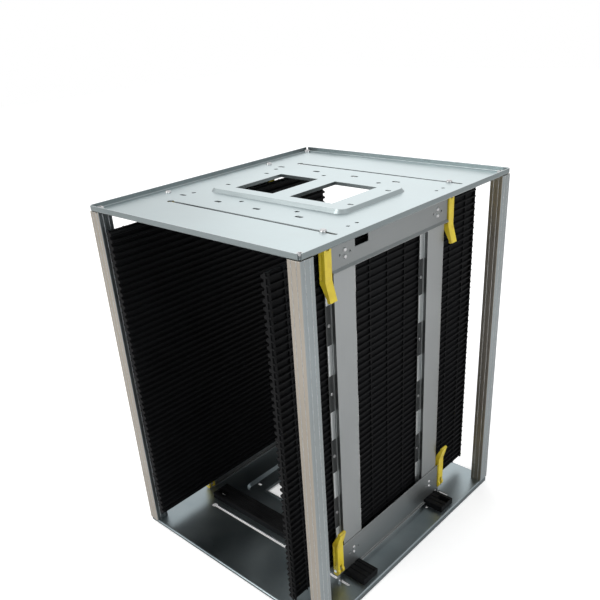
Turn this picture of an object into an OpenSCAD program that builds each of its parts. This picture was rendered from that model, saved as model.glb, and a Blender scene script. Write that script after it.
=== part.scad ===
// Adjustable magazine rack for printed circuit boards, standing on the floor.
// Two folded steel plates on four aluminium posts carry a fixed wall and a
// moving wall of slotted plastic panels. Levers clamp each wall to the plates.
// Millimetres, Z up. Boards slide along Y, the open front is -Y, and the origin
// is on the floor under the middle of the rack. The rack is drawn with the
// moving wall near the right-hand posts and every lever closed.

/* [Rack] */
// Length along the board travel
rack_l = 460; // [400:5:560]
// Width across the boards
rack_w = 400; // [340:5:540]
// Height over the rim of the top plate
rack_h = 563; // [460:1:700]

/* [Sheet metal] */
// Thickness of both folded plates
plate_t = 1.5; // [1:0.1:2]
// Height of the rim around the top plate and along the sides of the base
rim_h = 8.5; // [7:0.5:12]
// Height of the fold along the front and back of the base
hem_h = 3.5; // [3:0.5:6]
// Inside radius of the folds
fold_r = 1.5; // [0.8:0.1:2.5]
// Thickness of the wall rails
rail_t = 1.5; // [1:0.1:2]

/* [Posts] */
// Width of a post across the boards
post_w = 20; // [16:1:26]
// Depth of a post along the board travel
post_d = 22; // [16:1:28]
// Wall of the post extrusion
post_t = 2; // [1.5:0.1:3]
// Bore of the screw boss in the post
post_bore = 5.2; // [4.2:0.1:6.2]

/* [Plate pressing] */
// Length of the raised field across the boards
field_w = 260; // [220:5:280]
// Length of the raised field along the board travel
field_d = 144; // [120:2:160]
// Height of the raised field
field_h = 5; // [3:0.5:5]
// Size of each window across the boards
window_w = 76; // [50:1:84]
// Size of each window along the board travel
window_d = 98; // [60:1:110]
// Bar of sheet left between the two windows
window_bar = 33; // [20:1:44]

/* [Panels] */
// Board pitch
slot_pitch = 10; // [8:1:20]
// Panels stacked on each wall
panels = 5; // [5:1:5]
// Depth of a board slot
slot_depth = 4.5; // [3:0.5:6]
// Width of a board slot at its bottom
slot_floor = 3.7; // [2.5:0.1:5]
// Width of a board slot at its mouth
slot_mouth = 7; // [5:0.1:7.6]
// Skin between the slots and the outer ribs
skin_t = 3.5; // [2:0.5:5]
// Height of the outer ribs
rib_h = 3.5; // [2:0.5:5]
// Thickness of the outer ribs
rib_t = 2; // [1.4:0.2:3]
// Spacing of the upright outer ribs
column_pitch = 40; // [30:1:90]
// Height of the lowest panel over the base sheet
panel_lift = 22; // [20:1:40]

/* [Walls] */
// Board opening between the two walls as drawn
opening = 295.5; // [100:0.5:305]
// Distance of the fixed wall's slot tips from the left side
fixed_inset = 40; // [38:1:60]
// Depth of the wall frame behind the panels
frame_d = 8.5; // [8:0.5:12]
// Height of the wall rails
rail_h = 50; // [40:1:60]
// Width of a wall upright
upright_w = 42; // [36:1:50]
// Clamp studs of the moving wall, from the middle
moving_stud_y = 138; // [125:1:150]
// Clamp studs of the fixed wall, from the middle
fixed_stud_y = 108; // [96:1:120]

/* [Levers] */
// Length of a lever from its pivot to its tip
lever_l = 76; // [60:1:90]
// Width of a lever
lever_w = 13; // [11:0.5:15]
// Distance of the pivot from the clamped plate or foot
pivot_drop = 10; // [9:0.5:12]
// Diameter of the lever pins
pin_d = 3; // [2.5:0.1:4]
// Diameter of the clamp studs
stud_d = 4.6; // [4:0.1:6]

/* [Fits] */
// Gap between sliding faces
slide_gap = 0.1; // [0.05:0.05:0.3]
// Extra diameter of a pivot hole
pin_gap = 0.12; // [0.06:0.02:0.2]
// Extra diameter of a plain screw hole
hole_gap = 0.4; // [0.2:0.1:1]

/* [Hidden] */
$fn = 32;
e = 0.01;
base_z = rim_h;
top_z = rack_h - rim_h;
post_x = rack_w / 2 - post_w / 2;
post_y = rack_l / 2 - post_d / 2;
// wall frame, measured outward from the slot tips
panel_d = slot_depth + skin_t + rib_h;
frame_u = panel_d + frame_d;
face_u = frame_u + rail_t;
lip = 3.5;
flange_t = 1;
flange_w = 9.5;
tab_t = 0.8;
screw_d = 3;
upright_in = 34;
lever_in = panel_d + flange_t + tab_t + 0.7;
lever_t = 9.5;
pivot_u = lever_in + 3.8;
lever_bend = 52;
lever_kick = 12;
// eye of a clamp stud, and the gap of the lever fork round it
eye_w = stud_d + 0.4;
fork_gap = eye_w + 0.2;
cam_rise = 0.8;
stud_head = 3.2;
// heights of the panels
room = top_z - base_z - 2 * panel_lift;
slots = floor(room / panels / slot_pitch);
module_h = slots * slot_pitch;
panel_z = base_z + panel_lift;
panel_l = rack_l - 4;
// guide bars
bar_h = 11;
bar_w = 34;
bar_y = 108;
bar_z = base_z + bar_h + slide_gap;
fixed_x = -rack_w / 2 + fixed_inset;
moving_x = fixed_x + opening;
bar_x0 = fixed_x + 9;
bar_x1 = rack_w / 2 - 8;
// clamp slots of the moving wall
slot_w = stud_d + 0.4;
slot_x1 = rack_w / 2 - 28;
key_x = fixed_x + 26;
// each wall: place of its clamp studs, height of its foot and of its head
fixed = [fixed_stud_y, base_z, top_z];
moving = [moving_stud_y, bar_z, top_z - slide_gap];
// rows of spare fixing holes
hole_step = 77;
hole_x0 = key_x - 12;
hole_n = floor((slot_x1 - 40 - hole_x0) / hole_step) + 1;

// ---- shared shapes ----

// rectangle with round corners
module round_rect(w, d, r) {
    square([w - 2 * r, d], center = true);
    square([w, d - 2 * r], center = true);
    for (x = [-1, 1], y = [-1, 1])
        translate([x * (w / 2 - r), y * (d / 2 - r)]) circle(r);
}

// slot along X from x0 to x1
module slot_2d(x0, x1, w) {
    translate([x0, -w / 2]) square([x1 - x0, w]);
    for (x = [x0, x1]) translate([x, 0]) circle(d = w);
}

// quarter bend of a sheet, outer corner at the origin
module bend_2d(r, t) {
    intersection() {
        square(r + t);
        translate([r + t, r + t]) difference() {
            circle(r + t);
            circle(r);
        }
    }
}

// raised field with round corners and sloping sides, on the plane z = 0
module field(w, d, r, h) {
    slope = h * 0.8;
    for (x = [-1, 1], y = [-1, 1])
        translate([x * (w / 2 - r), y * (d / 2 - r), 0])
            cylinder(h = h, r1 = r, r2 = r - slope);
    rotate([90, 0, 90]) translate([0, 0, -(w / 2 - r)])
        linear_extrude(w - 2 * r)
            polygon([[-d / 2, 0], [d / 2, 0], [d / 2 - slope, h], [slope - d / 2, h]]);
    rotate([90, 0, 0]) translate([0, 0, -(d / 2 - r)])
        linear_extrude(d - 2 * r)
            polygon([[-w / 2, 0], [w / 2, 0], [w / 2 - slope, h], [slope - w / 2, h]]);
}

// one folded edge of a plate: outer face on x = 0, length along Y
module folded_edge(l, h) {
    rotate([90, 0, 0]) linear_extrude(l, center = true) {
        bend_2d(fold_r, plate_t);
        translate([0, fold_r + plate_t]) square([plate_t, h - fold_r - plate_t]);
        translate([fold_r + plate_t, 0]) square([2, plate_t]);
    }
}

// row of spare holes on one side of the plate
module spare_holes() {
    for (i = [0:hole_n - 1])
        translate([hole_x0 + i * hole_step, 105]) slot_2d(-3.5, 3.5, 6);
    for (x = [hole_x0 + 4, hole_x0 + 107, hole_x0 + 212])
        translate([x, 88]) circle(d = 7);
    for (y = [88, 105]) translate([slot_x1 - 8, y]) circle(d = 5);
}

// folded plate with its underside on z = 0 and its rim up
module tray(front_h) {
    inset = fold_r + plate_t;
    difference() {
        union() {
            translate([0, 0, plate_t / 2])
                cube([rack_w - 2 * inset, rack_l - 2 * inset, plate_t], center = true);
            for (s = [-1, 1]) {
                scale([s, 1, 1]) translate([-rack_w / 2, 0, 0])
                    folded_edge(rack_l - 2 * inset - 1, rim_h);
                rotate(s * 90) translate([-rack_l / 2, 0, 0])
                    folded_edge(rack_w - 2 * inset - 1, front_h);
            }
            translate([0, 0, plate_t - e]) field(field_w, field_d, 16, field_h + e);
            for (s = [-1, 1])
                translate([s * (window_w + window_bar) / 2, 0, plate_t + field_h / 2])
                    cube([window_w + 2 * plate_t, window_d + 2 * plate_t, field_h],
                         center = true);
        }
        difference() {
            translate([0, 0, -e])
                field(field_w - 2.4, field_d - 2.4, 15, field_h + e);
            for (s = [-1, 1])
                translate([s * (window_w + window_bar) / 2, 0, plate_t + field_h / 2])
                    cube([window_w + 2 * plate_t, window_d + 2 * plate_t, field_h],
                         center = true);
        }
        translate([0, 0, -5]) linear_extrude(20) {
            for (s = [-1, 1]) {
                translate([s * (window_w + window_bar) / 2, 0])
                    square([window_w, window_d], center = true);
                translate([0, s * moving_stud_y]) {
                    slot_2d(key_x, slot_x1, slot_w);
                    translate([key_x, 0]) circle(d = 10);
                }
                scale([1, s]) spare_holes();
                for (x = [-1, 1]) translate([x * 117, s * 41]) slot_2d(-2, 2, 5);
                translate([fixed_x - pivot_u, s * fixed_stud_y])
                    circle(d = stud_d + hole_gap);
                for (x = [-1, 1]) translate([x * post_x, s * post_y])
                    circle(d = post_bore + hole_gap);
            }
        }
    }
}

// ---- frame ----

module base_plate() {
    color("slategray") translate([0, 0, base_z]) mirror([0, 0, 1]) tray(hem_h);
}

module top_plate() {
    color("lightsteelblue") translate([0, 0, top_z]) tray(rim_h);
}

// section of a post: thin walls, a screw boss and shallow lines on each face
module post_2d() {
    difference() {
        round_rect(post_w, post_d, 1.2);
        difference() {
            round_rect(post_w - 2 * post_t, post_d - 2 * post_t, 0.8);
            circle(d = post_bore + 4);
            for (a = [0, 90]) rotate(a) square([post_w + post_d, 1.6], center = true);
        }
        circle(d = post_bore);
        for (a = [-1, 1], s = [-1, 1]) {
            translate([a * post_w / 5, s * post_d / 2]) square([0.8, 0.8], center = true);
            translate([s * post_w / 2, a * post_d / 5]) square([0.8, 0.8], center = true);
        }
    }
}

module post(x, y) {
    color("gainsboro") translate([x * post_x, y * post_y, base_z])
        linear_extrude(top_z - base_z) post_2d();
}

module front_left_post() { post(-1, -1); }
module front_right_post() { post(1, -1); }
module rear_left_post() { post(-1, 1); }
module rear_right_post() { post(1, 1); }

// pan screw with a hexagon socket, seated on z = 0 and pointing down
module pan_screw(d, l, head_d, head_h) {
    difference() {
        union() {
            cylinder(h = head_h * 0.6, d = head_d);
            translate([0, 0, head_h * 0.6])
                cylinder(h = head_h * 0.4, d1 = head_d, d2 = head_d * 0.7);
            translate([0, 0, -l]) cylinder(h = l + e, d = d);
        }
        translate([0, 0, head_h * 0.4]) cylinder(h = head_h, d = head_d * 0.45, $fn = 6);
    }
}

module post_screws() {
    color("silver") for (x = [-1, 1], y = [-1, 1]) translate([x * post_x, y * post_y, 0]) {
        translate([0, 0, top_z + plate_t]) pan_screw(post_bore - 0.2, 20, 11, 4);
        translate([0, 0, base_z - plate_t]) mirror([0, 0, 1])
            pan_screw(post_bore - 0.2, 20, 11, 4);
    }
}

// ---- guide bars ----

// screw holes of a guide bar lie over the spare holes of the base
function bar_screw_x() = [hole_x0 + hole_step, hole_x0 + (hole_n - 1) * hole_step];

// bar across the base, with grooves along the top and a window near one end
module guide_bar(side) {
    color([0.1, 0.1, 0.11]) difference() {
        translate([bar_x0, side * bar_y, base_z]) rotate([90, 0, 90])
            linear_extrude(bar_x1 - bar_x0) difference() {
                translate([-bar_w / 2, 0]) square([bar_w, bar_h]);
                for (y = [-9, 0, 9]) translate([y, bar_h]) square([2.4, 2], center = true);
                for (y = [-1, 1]) translate([y * bar_w / 2, bar_h])
                    rotate(45) square(1.6, center = true);
            }
        translate([side > 0 ? bar_x1 - 11 : bar_x0 + 14, side * (bar_y + 5), base_z])
            cube([20, 11, 3 * bar_h], center = true);
        for (x = bar_screw_x()) translate([x, side * 105, base_z - e])
            cylinder(h = 8.5, d = 4.2);
    }
}

module front_guide_bar() { guide_bar(-1); }
module rear_guide_bar() { guide_bar(1); }

module guide_bar_screws() {
    color("silver") for (x = bar_screw_x(), y = [-1, 1])
        translate([x, y * 105, base_z - plate_t]) mirror([0, 0, 1])
            pan_screw(4, plate_t + 7.5, 9, 3);
}

// ---- walls ----
// A wall is drawn with its slot tips on x = 0 and its outside towards +X.

module at_fixed_wall() {
    translate([fixed_x, 0, 0]) mirror([1, 0, 0]) children();
}

module at_moving_wall() {
    translate([moving_x, 0, 0]) children();
}

// section of one panel across the slots
module panel_2d() {
    land_tip = slot_pitch - slot_mouth;
    land_root = slot_pitch - slot_floor;
    translate([slot_depth, 0.1]) square([skin_t, module_h - 0.2]);
    for (i = [0:slots - 1]) {
        z = (i + 0.5) * slot_pitch;
        polygon([[0, z - land_tip / 2], [slot_depth + e, z - land_root / 2],
                 [slot_depth + e, z + land_root / 2], [0, z + land_tip / 2]]);
        translate([slot_depth + skin_t - e, z - rib_t / 2])
            square([rib_h + e, rib_t]);
    }
}

// places a screw on the upright flanges at the foot of each listed panel
module at_panel_screws(w, rows) {
    for (a = [-1, 1], s = [-1, 1], n = rows)
        translate([panel_d + flange_t,
                   a * (w[0] - upright_in) + s * (upright_w / 2 + 5),
                   panel_z + n * module_h])
            rotate([0, 90, 0]) children();
}

module panel(w, n) {
    columns = floor((panel_l / 2 - 6) / column_pitch);
    color([0.12, 0.12, 0.13]) difference() {
        translate([0, 0, panel_z + (n - 1) * module_h]) {
            translate([0, panel_l / 2, 0]) rotate([90, 0, 0])
                linear_extrude(panel_l) panel_2d();
            for (i = [-columns:columns])
                translate([slot_depth + skin_t - e, i * column_pitch - rib_t / 2, 0.1])
                    cube([rib_h - 1, rib_t, module_h - 0.2]);
            for (s = [-1, 1])
                translate([slot_depth + skin_t - e,
                           s * (panel_l / 2 - 2.5) - rib_t / 2, 0.1])
                    cube([rib_h + e, rib_t, module_h - 0.2]);
        }
        at_panel_screws(w, [n - 1, n])
            translate([0, 0, -rib_h - 3]) cylinder(h = rib_h + 4, d = screw_d + 0.2);
    }
}

// hat-shaped upright, its flanges on the panels
module upright(w, s) {
    z0 = base_z + bar_h + 3;
    z1 = top_z - 4;
    y = s * (w[0] - upright_in);
    color("silver") difference() {
        union() {
            translate([0, y, z0]) linear_extrude(z1 - z0) difference() {
                translate([panel_d, -upright_w / 2]) square([frame_d, upright_w]);
                translate([panel_d - 1, 1.5 - upright_w / 2])
                    square([frame_d - 0.5, upright_w - 3]);
            }
            for (k = [0, 1]) translate([panel_d, y, 0]) mirror([0, k, 0]) {
                translate([0, upright_w / 2 - 0.1, panel_z + 8])
                    cube([flange_t, flange_w + 0.1, panels * module_h - 16]);
                for (n = [0:panels - 1])
                    translate([flange_t - e, upright_w / 2 + 0.8,
                               panel_z + (n + 0.5) * module_h - 22])
                        cube([tab_t, 8, 44]);
            }
        }
        at_panel_screws(w, [1:panels - 1])
            translate([0, 0, -3]) cylinder(h = 4, d = screw_d + 0.2);
        at_rail_screws(w) translate([0, 0, -5]) cylinder(h = 6, d = screw_d + 0.2);
    }
}

module panel_screws(w) {
    color("silver") at_panel_screws(w, [1:panels - 1]) {
        cylinder(h = 1.2, d = 4.5);
        translate([0, 0, -rib_h - 2]) cylinder(h = rib_h + 2 + e, d = screw_d);
    }
}

// rail of a wall: web on the uprights, flange on the plate with an ear for each
// stud, and an outward lip
module rail(w, top) {
    web_l = 2 * (w[0] - 8);
    drop = top ? 0 : min(5, w[1] - base_z);
    flange_z = top ? rail_h - rail_t : 0;
    color("silver") difference() {
        translate([0, 0, top ? w[2] - rail_h : w[1]]) {
            difference() {
                union() {
                    rotate([90, 0, 0]) linear_extrude(web_l, center = true) {
                        translate([frame_u, 0]) square([rail_t, rail_h]);
                        translate([lever_in, flange_z])
                            square([face_u - lever_in, rail_t]);
                    }
                    if (top) rotate([90, 0, 0]) linear_extrude(web_l, center = true)
                        polygon([[frame_u, 1], [frame_u, -0.6], [face_u + lip - 1, -lip],
                                 [face_u + lip, 1 - lip], [face_u, 1]]);
                    else rotate([90, 0, 0])
                        linear_extrude(2 * (bar_y - bar_w / 2 - 2), center = true) {
                            translate([frame_u, -drop]) square([rail_t, drop + 1]);
                            translate([frame_u, -drop]) square([rail_t + lip, rail_t]);
                        }
                    for (k = [0, 1]) mirror([0, k, 0])
                        translate([lever_in, w[0] - 9, flange_z])
                            cube([face_u - lever_in, 16, rail_t]);
                }
                for (s = [-1, 1]) translate([pivot_u, s * w[0], -1])
                    cylinder(h = rail_h + 2, d = stud_d + hole_gap);
                if (top) translate([frame_u - 1, 54 - w[0], rail_h - 31])
                    cube([4, 28, 30 - rail_t]);
            }
        }
        at_rail_screws(w) translate([0, 0, -5]) cylinder(h = 6, d = screw_d + 0.2);
        at_rail_holes(w) translate([0, 0, -2]) cylinder(h = 4, d = 3.5);
    }
}

// middle of the fastening pattern where each rail crosses an upright
module at_crossings(w) {
    for (s = [-1, 1], z = [w[1] + 26.5, w[2] - 33.5])
        translate([face_u, s * (w[0] - upright_in), z]) rotate([0, 90, 0]) children();
}

module at_rail_screws(w) {
    at_crossings(w) for (k = [-4.5, 4.5]) translate([k, 0, 0]) children();
}

module at_rail_holes(w) {
    at_crossings(w) for (k = [-10, 10]) translate([0, k, 0]) children();
}

module rail_screws(w) {
    color("silver") at_rail_screws(w) {
        cylinder(h = 1.6, d1 = 6, d2 = 4);
        translate([0, 0, -4]) cylinder(h = 4 + e, d = screw_d);
    }
}

// places a clamp part at one corner of a wall, drawn for a top corner
module at_clamp(w, s, top) {
    translate([pivot_u, s * w[0], top ? w[2] - pivot_drop : w[1] + pivot_drop])
        mirror([0, 0, top ? 0 : 1]) children();
}

// stud with an eye round the lever pin and a flat head beyond the plate
module clamp_stud(l) {
    difference() {
        union() {
            translate([0, 0, l]) cylinder(h = stud_head / 2, d = 9);
            translate([0, 0, l + stud_head / 2])
                cylinder(h = stud_head / 2, d1 = 9, d2 = 6);
            cylinder(h = l + e, d = stud_d);
            rotate([90, 0, 0]) cylinder(h = eye_w, d = 8, center = true);
        }
        rotate([90, 0, 0]) cylinder(h = 10, d = pin_d + 0.04, center = true);
    }
}

module clamp_studs(w) {
    color("lightgray") for (s = [-1, 1]) {
        at_clamp(w, s, true) clamp_stud(top_z + plate_t - w[2] + pivot_drop);
        at_clamp(w, s, false) clamp_stud(w[1] + pivot_drop - base_z + plate_t);
    }
}

// headed pin across the lever fork
module lever_pin() {
    rotate([90, 0, 0]) {
        cylinder(h = lever_w + 0.3, d = pin_d, center = true);
        for (s = [-1, 1]) translate([0, 0, s * (lever_w / 2 + 0.45)])
            cylinder(h = 0.7, d = pin_d + 2, center = true);
    }
}

module lever_pins(w) {
    color("silver") for (s = [-1, 1], top = [true, false])
        at_clamp(w, s, top) lever_pin();
}

// side outline of a lever that hangs from its pivot at the origin; the cam at
// its head is off centre, so swinging the lever out frees the wall
module lever_2d() {
    inner = lever_in - pivot_u;
    outer = inner + lever_t;
    cam_r = pivot_drop - rail_t - slide_gap - 0.2 - cam_rise;
    difference() {
        union() {
            translate([0, cam_rise]) circle(cam_r);
            polygon([[inner, 0], [inner, -lever_bend], [inner + lever_kick, 2 - lever_l],
                     [outer + lever_kick - 5, 1 - lever_l], [outer, 2 - lever_bend],
                     [outer, 0]]);
            translate([inner + lever_kick + 1.2, 2.5 - lever_l]) circle(2.5);
        }
        translate([inner - 20, -lever_bend]) square([20, lever_bend + 20]);
    }
}

// fork at the pivot, recessed flanks on the handle
module lever(w, s, top) {
    inner = lever_in - pivot_u;
    color("gold") at_clamp(w, s, top) difference() {
        rotate([90, 0, 0]) linear_extrude(lever_w, center = true) lever_2d();
        rotate([90, 0, 0]) cylinder(h = 2 * lever_w, d = pin_d + pin_gap, center = true);
        cube([40, fork_gap, 2 * pivot_drop + 2], center = true);
        for (k = [-1, 1])
            translate([inner + 1.8, k * lever_w / 2 - 1.2, 4 - lever_bend])
                cube([lever_t - 5.4, 2.4, lever_bend - 14]);
    }
}

// ---- fixed wall ----

module fixed_wall_top_rail() { at_fixed_wall() rail(fixed, true); }
module fixed_wall_bottom_rail() { at_fixed_wall() rail(fixed, false); }
module fixed_wall_front_upright() { at_fixed_wall() upright(fixed, -1); }
module fixed_wall_rear_upright() { at_fixed_wall() upright(fixed, 1); }
module fixed_wall_panel_1() { at_fixed_wall() panel(fixed, 1); }
module fixed_wall_panel_2() { at_fixed_wall() panel(fixed, 2); }
module fixed_wall_panel_3() { at_fixed_wall() panel(fixed, 3); }
module fixed_wall_panel_4() { at_fixed_wall() panel(fixed, 4); }
module fixed_wall_panel_5() { at_fixed_wall() panel(fixed, 5); }
module fixed_wall_panel_screws() { at_fixed_wall() panel_screws(fixed); }
module fixed_wall_rail_screws() { at_fixed_wall() rail_screws(fixed); }
module fixed_wall_clamp_studs() { at_fixed_wall() clamp_studs(fixed); }
module fixed_wall_lever_pins() { at_fixed_wall() lever_pins(fixed); }
module fixed_lever_front_top() { at_fixed_wall() lever(fixed, -1, true); }
module fixed_lever_rear_top() { at_fixed_wall() lever(fixed, 1, true); }
module fixed_lever_front_bottom() { at_fixed_wall() lever(fixed, -1, false); }
module fixed_lever_rear_bottom() { at_fixed_wall() lever(fixed, 1, false); }

// ---- moving wall ----

module moving_wall_top_rail() { at_moving_wall() rail(moving, true); }
module moving_wall_bottom_rail() { at_moving_wall() rail(moving, false); }
module moving_wall_front_upright() { at_moving_wall() upright(moving, -1); }
module moving_wall_rear_upright() { at_moving_wall() upright(moving, 1); }
module moving_wall_panel_1() { at_moving_wall() panel(moving, 1); }
module moving_wall_panel_2() { at_moving_wall() panel(moving, 2); }
module moving_wall_panel_3() { at_moving_wall() panel(moving, 3); }
module moving_wall_panel_4() { at_moving_wall() panel(moving, 4); }
module moving_wall_panel_5() { at_moving_wall() panel(moving, 5); }
module moving_wall_panel_screws() { at_moving_wall() panel_screws(moving); }
module moving_wall_rail_screws() { at_moving_wall() rail_screws(moving); }
module moving_wall_clamp_studs() { at_moving_wall() clamp_studs(moving); }
module moving_wall_lever_pins() { at_moving_wall() lever_pins(moving); }
module moving_lever_front_top() { at_moving_wall() lever(moving, -1, true); }
module moving_lever_rear_top() { at_moving_wall() lever(moving, 1, true); }
module moving_lever_front_bottom() { at_moving_wall() lever(moving, -1, false); }
module moving_lever_rear_bottom() { at_moving_wall() lever(moving, 1, false); }

base_plate();
top_plate();
front_left_post();
front_right_post();
rear_left_post();
rear_right_post();
post_screws();
front_guide_bar();
rear_guide_bar();
guide_bar_screws();
fixed_wall_top_rail();
fixed_wall_bottom_rail();
fixed_wall_front_upright();
fixed_wall_rear_upright();
fixed_wall_panel_1();
fixed_wall_panel_2();
fixed_wall_panel_3();
fixed_wall_panel_4();
fixed_wall_panel_5();
fixed_wall_panel_screws();
fixed_wall_rail_screws();
fixed_wall_clamp_studs();
fixed_wall_lever_pins();
fixed_lever_front_top();
fixed_lever_rear_top();
fixed_lever_front_bottom();
fixed_lever_rear_bottom();
moving_wall_top_rail();
moving_wall_bottom_rail();
moving_wall_front_upright();
moving_wall_rear_upright();
moving_wall_panel_1();
moving_wall_panel_2();
moving_wall_panel_3();
moving_wall_panel_4();
moving_wall_panel_5();
moving_wall_panel_screws();
moving_wall_rail_screws();
moving_wall_clamp_studs();
moving_wall_lever_pins();
moving_lever_front_top();
moving_lever_rear_top();
moving_lever_front_bottom();
moving_lever_rear_bottom();
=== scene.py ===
# Circuit board magazine rack: finishes, stage, light and camera.
import math

import bpy
from mathutils import Matrix, Vector

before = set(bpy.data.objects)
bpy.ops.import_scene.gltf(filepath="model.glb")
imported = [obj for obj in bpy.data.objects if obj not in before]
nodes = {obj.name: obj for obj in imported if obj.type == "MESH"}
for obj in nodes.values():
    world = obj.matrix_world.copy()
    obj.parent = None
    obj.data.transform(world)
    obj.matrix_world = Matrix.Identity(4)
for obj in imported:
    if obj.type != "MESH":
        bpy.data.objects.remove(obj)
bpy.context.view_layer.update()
print("frame loaded:", len(nodes), "pieces")

# the slot tips of each wall, from its inner panel faces
wallTips = {
    "moving": min(v.co.x for v in nodes["moving_wall_panel_1"].data.vertices),
    "fixed": max(v.co.x for v in nodes["fixed_wall_panel_1"].data.vertices)}


# ---- small helpers for node trees ----

def addNode(tree, kind, **values):
    node = tree.nodes.new(kind)
    for name, value in values.items():
        setattr(node, name, value)
    return node


def setSockets(node, **values):
    for name, value in values.items():
        node.inputs[name.replace("_", " ")].default_value = value
    return node


def join(tree, fromSocket, toSocket):
    tree.links.new(fromSocket, toSocket)


def newGroup(name, inputs, outputs):
    group = bpy.data.node_groups.new(name, "ShaderNodeTree")
    for label, kind, value in inputs:
        socket = group.interface.new_socket(label, in_out="INPUT", socket_type=kind)
        if value is not None:
            socket.default_value = value
    for label, kind in outputs:
        group.interface.new_socket(label, in_out="OUTPUT", socket_type=kind)
    return group, group.nodes.new("NodeGroupInput"), group.nodes.new("NodeGroupOutput")


def useGroup(tree, group, **values):
    node = tree.nodes.new("ShaderNodeGroup")
    node.node_tree = group
    return setSockets(node, **values)


def mathNode(tree, operation, a, b=None, clamp=False):
    node = addNode(tree, "ShaderNodeMath", operation=operation, use_clamp=clamp)
    for i, value in enumerate((a, b)):
        if value is None:
            continue
        if isinstance(value, (int, float)):
            node.inputs[i].default_value = value
        else:
            join(tree, value, node.inputs[i])
    return node.outputs[0]


def mixColors(tree, factor, a, b, blend="MIX"):
    node = addNode(tree, "ShaderNodeMix", data_type="RGBA", blend_type=blend)
    for i, value in ((0, factor), (6, a), (7, b)):
        if isinstance(value, (int, float)):
            node.inputs[i].default_value = value
        elif isinstance(value, (tuple, list)):
            node.inputs[i].default_value = (*value, 1.0)
        else:
            join(tree, value, node.inputs[i])
    return node.outputs[2]


def mapRange(tree, value, low, high, toLow, toHigh):
    node = addNode(tree, "ShaderNodeMapRange")
    join(tree, value, node.inputs["Value"])
    setSockets(node, From_Min=low, From_Max=high, To_Min=toLow, To_Max=toHigh)
    return node.outputs["Result"]


# ---- effects that several finishes share ----

def makeGrainGroup():
    # streaks: noise pulled out along one direction; cloud: broad uneven tone
    group, gin, gout = newGroup(
        "surfaceGrain",
        [("Stretch", "NodeSocketVector", (900.0, 900.0, 20.0)),
         ("Cloud Scale", "NodeSocketFloat", 9.0)],
        [("Streaks", "NodeSocketFloat"), ("Cloud", "NodeSocketFloat")])
    coords = addNode(group, "ShaderNodeTexCoord")
    pulled = addNode(group, "ShaderNodeVectorMath", operation="MULTIPLY")
    join(group, coords.outputs["Object"], pulled.inputs[0])
    join(group, gin.outputs["Stretch"], pulled.inputs[1])
    streak = setSockets(addNode(group, "ShaderNodeTexNoise"), Scale=1.0, Detail=4.0,
                        Roughness=0.62)
    join(group, pulled.outputs[0], streak.inputs["Vector"])
    cloud = setSockets(addNode(group, "ShaderNodeTexNoise"), Detail=3.0, Roughness=0.5)
    join(group, coords.outputs["Object"], cloud.inputs["Vector"])
    join(group, gin.outputs["Cloud Scale"], cloud.inputs["Scale"])
    join(group, streak.outputs["Fac"], gout.inputs["Streaks"])
    join(group, cloud.outputs["Fac"], gout.inputs["Cloud"])
    return group


def makeEdgeGroup():
    # edge: rubbed corners, found where the rounded normal leaves the flat one
    group, gin, gout = newGroup(
        "rubbedEdges",
        [("Radius", "NodeSocketFloat", 0.0006), ("Breakup", "NodeSocketFloat", 260.0)],
        [("Edge", "NodeSocketFloat"), ("Normal", "NodeSocketVector")])
    bevel = addNode(group, "ShaderNodeBevel", samples=6)
    join(group, gin.outputs["Radius"], bevel.inputs["Radius"])
    flat = addNode(group, "ShaderNodeNewGeometry")
    dot = addNode(group, "ShaderNodeVectorMath", operation="DOT_PRODUCT")
    join(group, bevel.outputs["Normal"], dot.inputs[0])
    join(group, flat.outputs["Normal"], dot.inputs[1])
    edge = mapRange(group, dot.outputs["Value"], 0.99, 0.80, 0.0, 1.0)
    coords = addNode(group, "ShaderNodeTexCoord")
    noise = setSockets(addNode(group, "ShaderNodeTexNoise"), Detail=5.0, Roughness=0.7)
    join(group, coords.outputs["Object"], noise.inputs["Vector"])
    join(group, gin.outputs["Breakup"], noise.inputs["Scale"])
    broken = mapRange(group, noise.outputs["Fac"], 0.35, 0.62, 0.15, 1.0)
    join(group, mathNode(group, "MULTIPLY", edge, broken, clamp=True), gout.inputs["Edge"])
    join(group, bevel.outputs["Normal"], gout.inputs["Normal"])
    return group


def makeDustGroup():
    # dust: settles on faces that look up, in soft patches
    group, gin, gout = newGroup(
        "settledDust",
        [("Patch Scale", "NodeSocketFloat", 14.0)],
        [("Dust", "NodeSocketFloat")])
    flat = addNode(group, "ShaderNodeNewGeometry")
    split = addNode(group, "ShaderNodeSeparateXYZ")
    join(group, flat.outputs["Normal"], split.inputs[0])
    upward = mapRange(group, split.outputs["Z"], 0.5, 1.0, 0.0, 1.0)
    coords = addNode(group, "ShaderNodeTexCoord")
    noise = setSockets(addNode(group, "ShaderNodeTexNoise"), Detail=6.0, Roughness=0.65)
    join(group, coords.outputs["Object"], noise.inputs["Vector"])
    join(group, gin.outputs["Patch Scale"], noise.inputs["Scale"])
    patch = mapRange(group, noise.outputs["Fac"], 0.38, 0.72, 0.0, 1.0)
    join(group, mathNode(group, "MULTIPLY", upward, patch, clamp=True), gout.inputs["Dust"])
    return group


grainGroup = makeGrainGroup()
edgeGroup = makeEdgeGroup()
dustGroup = makeDustGroup()


def paintedSideShade(tree, color, sideShadeTone):
    # painted shade: upright and sloping faces are darkened against the flat sheet
    level = normalShare(tree, "Z")
    tone = mapRange(tree, level, 0.4, 0.98, sideShadeTone, 1.0)
    return timesTone(tree, color, tone)


def normalShare(tree, axis):
    # how far the flat normal points along one axis, either way
    flat = addNode(tree, "ShaderNodeNewGeometry")
    split = addNode(tree, "ShaderNodeSeparateXYZ")
    join(tree, flat.outputs["Normal"], split.inputs[0])
    return mathNode(tree, "ABSOLUTE", split.outputs[axis])


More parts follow.
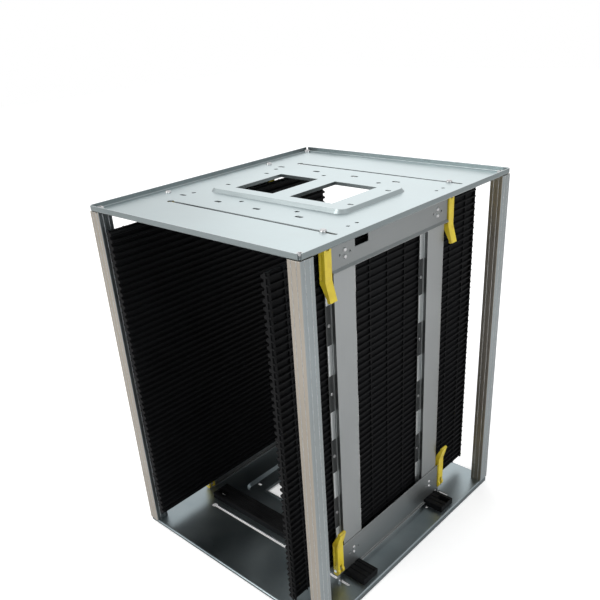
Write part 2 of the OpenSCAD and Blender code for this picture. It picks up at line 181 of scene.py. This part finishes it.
def timesTone(tree, color, tone):
    grey = addNode(tree, "ShaderNodeCombineColor")
    for i in range(3):
        join(tree, tone, grey.inputs[i])
    return mixColors(tree, 1.0, color, grey.outputs[0], "MULTIPLY")


def paintedCoolSideTint(tree, tint):
    # painted light: faces across the rack get a cool tint that the front and back faces don't
    facing = normalShare(tree, "X")
    return mixColors(tree, mapRange(tree, facing, 0.3, 0.8, 0.0, 1.0), (1, 1, 1), tint)


def paintedFlangeShadeTabLight(tree, color, heights, tones):
    # painted shade darkens the flanges and side webs of an upright against the outer face,
    # painted light brightens the tabs;
    # depth is measured outward from the slot tips of whichever wall it is
    tabHeight, hatHeight = heights
    flangeShadeTone, tabLightTone, webShadeTone = tones
    coords = addNode(tree, "ShaderNodeTexCoord")
    place = addNode(tree, "ShaderNodeSeparateXYZ")
    join(tree, coords.outputs["Object"], place.inputs[0])
    moving = mathNode(tree, "SUBTRACT", place.outputs["X"], wallTips["moving"])
    fixed = mathNode(tree, "SUBTRACT", wallTips["fixed"], place.outputs["X"])
    depth = mathNode(tree, "MAXIMUM", moving, fixed)
    facing = normalShare(tree, "X")
    low = mapRange(tree, depth, tabHeight - 0.0001, tabHeight, flangeShadeTone, tabLightTone)
    high = mapRange(tree, facing, 0.3, 0.7, webShadeTone, 1.0)
    isHat = mathNode(tree, "GREATER_THAN", depth, hatHeight)
    tone = mathNode(tree, "ADD", mathNode(tree, "MULTIPLY", isHat, high),
                    mathNode(tree, "MULTIPLY", mathNode(tree, "SUBTRACT", 1.0, isHat), low))
    return timesTone(tree, color, tone)


def makeFinish(name, look):
    material = bpy.data.materials.new(name)
    material.use_nodes = True
    tree = material.node_tree
    shader = tree.nodes["Principled BSDF"]
    setSockets(shader, Metallic=look["metallic"], Specular_IOR_Level=look.get("specular", 0.5))
    grain = useGroup(tree, grainGroup, Stretch=look["stretch"], Cloud_Scale=look["cloudScale"])
    edges = useGroup(tree, edgeGroup, Radius=look["edgeRadius"], Breakup=look["breakup"])
    dust = useGroup(tree, dustGroup, Patch_Scale=look["dustScale"])
    streaks = mapRange(tree, grain.outputs["Streaks"], 0.3, 0.7, 0.0, 1.0)
    cloud = mapRange(tree, grain.outputs["Cloud"], 0.3, 0.7, 0.0, 1.0)
    color = mixColors(tree, cloud, look["dark"], look["light"])
    streakTone = mapRange(tree, streaks, 0.0, 1.0, 1.0 - look["streakTone"],
                          1.0 + look["streakTone"])
    color = timesTone(tree, color, streakTone)
    worn = mathNode(tree, "MULTIPLY", edges.outputs["Edge"], look["wear"])
    color = mixColors(tree, worn, color, look["wornColor"])
    dusty = mathNode(tree, "MULTIPLY", dust.outputs["Dust"], look["dust"])
    color = mixColors(tree, dusty, color, look["dustColor"])
    # painted shade darkens the upright and sloping faces
    if "sideShadeTone" in look:
        color = paintedSideShade(tree, color, look["sideShadeTone"])
    # painted cool light on the faces across the rack
    if look.get("paintedCoolSideTint"):
        color = mixColors(tree, 1.0, color, paintedCoolSideTint(tree, look["paintedCoolSideTint"]), "MULTIPLY")
    # painted shade on upright flanges and webs, painted light on the tabs
    if "paintedFaceTones" in look:
        color = paintedFlangeShadeTabLight(tree, color, look["faceHeights"], look["paintedFaceTones"])
    join(tree, color, shader.inputs["Base Color"])
    rough = mapRange(tree, cloud, 0.0, 1.0, look["roughness"][0], look["roughness"][1])
    rough = mathNode(tree, "ADD", rough, mathNode(tree, "MULTIPLY", streaks, look["streakRough"]))
    rough = mathNode(tree, "ADD", rough, mathNode(tree, "MULTIPLY", dusty, 0.4), clamp=True)
    join(tree, rough, shader.inputs["Roughness"])
    bump = setSockets(addNode(tree, "ShaderNodeBump"), Strength=look["bump"],
                      Distance=look["bumpDepth"])
    join(tree, grain.outputs["Streaks"], bump.inputs["Height"])
    join(tree, edges.outputs["Normal"], bump.inputs["Normal"])
    join(tree, bump.outputs["Normal"], shader.inputs["Normal"])
    return material


# ---- finishes ----

topSheetLook = {
    "metallic": 1.0, "light": (0.51, 0.585, 0.60), "dark": (0.43, 0.50, 0.515),
    "stretch": (25.0, 700.0, 700.0), "cloudScale": 6.0, "streakTone": 0.035,
    "roughness": (0.26, 0.36), "streakRough": 0.06, "bump": 0.06, "bumpDepth": 0.0004,
    "edgeRadius": 0.0006, "breakup": 240.0, "wear": 0.7, "wornColor": (0.86, 0.87, 0.88),
    # painted shade tone for the sheet's upright faces
    "sideShadeTone": 0.42, "dust": 0.10, "dustScale": 11.0, "dustColor": (0.62, 0.62, 0.60)}

# painted shade: the base sheet is a darker copy of the top sheet's zinc colour
shadedBaseSheetLook = dict(
    topSheetLook, light=(0.33, 0.385, 0.405), dark=(0.21, 0.255, 0.275),
    roughness=(0.26, 0.36), cloudScale=5.0, bump=0.04, dust=0.16)

postLook = {
    "metallic": 1.0, "light": (0.35, 0.32, 0.28), "dark": (0.30, 0.27, 0.23),
    # painted cool light tint for the post's side faces
    "paintedCoolSideTint": (0.80, 0.97, 1.15),
    "stretch": (1400.0, 1400.0, 9.0), "cloudScale": 5.0, "streakTone": 0.025,
    "roughness": (0.38, 0.44), "streakRough": 0.04, "bump": 0.05, "bumpDepth": 0.0003,
    "edgeRadius": 0.0007, "breakup": 200.0, "wear": 0.6, "wornColor": (0.86, 0.86, 0.85),
    "dust": 0.05, "dustScale": 12.0, "dustColor": (0.6, 0.6, 0.58)}

uprightLook = dict(
    postLook, light=(0.325, 0.338, 0.34), dark=(0.265, 0.277, 0.28),
    paintedCoolSideTint=None,
    stretch=(1800.0, 1800.0, 14.0), roughness=(0.34, 0.46), streakTone=0.04,
    # tones for painted shade on flanges and webs and painted light on tabs
    faceHeights=(0.0129, 0.0150), paintedFaceTones=(0.25, 1.9, 0.36))

railLook = dict(
    postLook, streakTone=0.04, stretch=(1800.0, 14.0, 1800.0), light=(0.26, 0.272, 0.274),
    dark=(0.20, 0.212, 0.214), paintedCoolSideTint=None, roughness=(0.36, 0.48))

screwLook = dict(
    postLook, light=(0.60, 0.60, 0.60), dark=(0.40, 0.40, 0.41), paintedCoolSideTint=None,
    stretch=(900.0, 900.0, 900.0), roughness=(0.2, 0.34), cloudScale=120.0)

panelLook = {
    "metallic": 0.0, "light": (0.0042, 0.0045, 0.0052), "dark": (0.0028, 0.0029, 0.0033),
    "stretch": (2600.0, 2600.0, 2600.0), "cloudScale": 14.0, "streakTone": 0.10,
    "roughness": (0.54, 0.66), "streakRough": 0.08, "bump": 0.16, "bumpDepth": 0.00025,
    "edgeRadius": 0.0003, "breakup": 320.0, "wear": 0.25, "specular": 0.09,
    "wornColor": (0.016, 0.017, 0.019),
    "dust": 0.04, "dustScale": 30.0, "dustColor": (0.08, 0.08, 0.078)}

barLook = dict(
    panelLook, stretch=(60.0, 1500.0, 1500.0), roughness=(0.5, 0.62),
    edgeRadius=0.0006, dust=0.06)

leverLook = {
    "metallic": 0.0, "light": (0.66, 0.53, 0.026), "dark": (0.50, 0.36, 0.018),
    "stretch": (1300.0, 1300.0, 1300.0), "cloudScale": 60.0, "streakTone": 0.05,
    "roughness": (0.32, 0.46), "streakRough": 0.06, "bump": 0.10, "bumpDepth": 0.0003,
    "edgeRadius": 0.0009, "breakup": 300.0, "wear": 0.35, "wornColor": (0.86, 0.76, 0.20),
    "dust": 0.06, "dustScale": 40.0, "dustColor": (0.5, 0.46, 0.3)}

finishes = {
    "topSheet": makeFinish("zincTopSheet", topSheetLook),
    "baseSheet": makeFinish("zincBaseSheetShaded", shadedBaseSheetLook),
    "post": makeFinish("anodisedPost", postLook),
    "upright": makeFinish("platedUpright", uprightLook),
    "rail": makeFinish("platedRail", railLook),
    "screw": makeFinish("zincScrew", screwLook),
    "panel": makeFinish("blackPanelPlastic", panelLook),
    "bar": makeFinish("blackBarPlastic", barLook),
    "lever": makeFinish("yellowLeverPlastic", leverLook)}


def finishFor(name):
    if name == "top_plate":
        return "topSheet"
    if name == "base_plate":
        return "baseSheet"
    if "screws" in name or "studs" in name or "pins" in name:
        return "screw"
    for word, key in (("post", "post"), ("guide_bar", "bar"), ("upright", "upright"),
                      ("rail", "rail"), ("panel", "panel"), ("lever", "lever")):
        if word in name:
            return key
    raise ValueError("no finish for " + name)


for name, piece in nodes.items():
    piece.data.materials.clear()
    piece.data.materials.append(finishes[finishFor(name)])
print("finishes placed")


# ---- floor, backdrop and light ----

stageLook = {
    "floorSize": 14.0, "floorColor": (0.96, 0.96, 0.96), "floorLift": 0.3,
    "worldColor": (1.0, 1.0, 1.0), "worldStrength": 0.8}


def makeFloor():
    half = stageLook["floorSize"] / 2
    mesh = bpy.data.meshes.new("floor")
    mesh.from_pydata([(-half, -half, 0), (half, -half, 0), (half, half, 0), (-half, half, 0)],
                     [], [(0, 1, 2, 3)])
    floor = bpy.data.objects.new("floor", mesh)
    bpy.context.scene.collection.objects.link(floor)
    floor.location.z = -0.0005
    material = bpy.data.materials.new("paleFloor")
    material.use_nodes = True
    shader = material.node_tree.nodes["Principled BSDF"]
    shader.inputs["Base Color"].default_value = (*stageLook["floorColor"], 1)
    setSockets(shader, Roughness=0.9, Specular_IOR_Level=0.1)
    # the camera sees the open floor as white, and the shadow stays
    path = addNode(material.node_tree, "ShaderNodeLightPath")
    lift = mathNode(material.node_tree, "MULTIPLY", path.outputs["Is Camera Ray"],
                    stageLook["floorLift"])
    shader.inputs["Emission Color"].default_value = (1, 1, 1, 1)
    join(material.node_tree, lift, shader.inputs["Emission Strength"])
    mesh.materials.append(material)


def makeWorld():
    world = bpy.data.worlds.new("studio")
    bpy.context.scene.world = world
    world.use_nodes = True
    tree = world.node_tree
    background = tree.nodes["Background"]
    background.inputs["Color"].default_value = (*stageLook["worldColor"], 1)
    path = addNode(tree, "ShaderNodeLightPath")
    seen = mathNode(tree, "MAXIMUM", path.outputs["Is Camera Ray"],
                    path.outputs["Is Glossy Ray"])
    seen = mathNode(tree, "MAXIMUM", seen, path.outputs["Is Transmission Ray"])
    strength = mapRange(tree, seen, 0.0, 1.0, stageLook["worldStrength"], 1.0)
    join(tree, strength, background.inputs["Strength"])


def addSoftLight(name, place, target, size, power, color=(1, 1, 1)):
    lamp = bpy.data.lights.new(name, "AREA")
    lamp.shape = "DISK"
    lamp.size = size
    lamp.energy = power
    lamp.color = color
    holder = bpy.data.objects.new(name, lamp)
    bpy.context.scene.collection.objects.link(holder)
    holder.location = place
    holder.rotation_euler = (Vector(target) - Vector(place)).to_track_quat("-Z", "Y").to_euler()
    return holder


makeFloor()
makeWorld()
addSoftLight("keyLight", (-1.2, -2.6, 2.6), (0, 0, 0.3), 1.8, 70, (1.0, 0.985, 0.96))
addSoftLight("sideLight", (2.8, -0.4, 1.8), (0, 0, 0.3), 1.6, 26, (0.96, 0.98, 1.0))
addSoftLight("backLight", (-1.5, 2.3, 2.0), (0.15, 0, 0.5), 2.2, 6)
print("stage and lights set")


# ---- camera ----

cameraPlace = {
    "location": (0.6769, -0.7335, 0.7948), "azimuth": -45.55, "elevation": 27.39,
    "roll": -4.03, "lens": 41.61, "shift": (0.0075, 0.1065)}


def makeCamera():
    data = bpy.data.cameras.new("camera")
    data.sensor_width = 36.0
    data.lens = cameraPlace["lens"]
    data.shift_x, data.shift_y = cameraPlace["shift"]
    data.clip_start = 0.01
    az, el, roll = (math.radians(cameraPlace[k]) for k in ("azimuth", "elevation", "roll"))
    forward = Vector((-math.cos(az) * math.cos(el), -math.sin(az) * math.cos(el), -math.sin(el)))
    right = forward.cross(Vector((0, 0, 1))).normalized()
    up = right.cross(forward)
    rolledRight = math.cos(roll) * right + math.sin(roll) * up
    rolledUp = -math.sin(roll) * right + math.cos(roll) * up
    camera = bpy.data.objects.new("camera", data)
    bpy.context.scene.collection.objects.link(camera)
    turn = Matrix((rolledRight, rolledUp, -forward)).transposed().to_4x4()
    camera.matrix_world = Matrix.Translation(cameraPlace["location"]) @ turn
    bpy.context.scene.camera = camera


makeCamera()
bpy.context.scene.view_settings.view_transform = "Standard"
print("camera set")
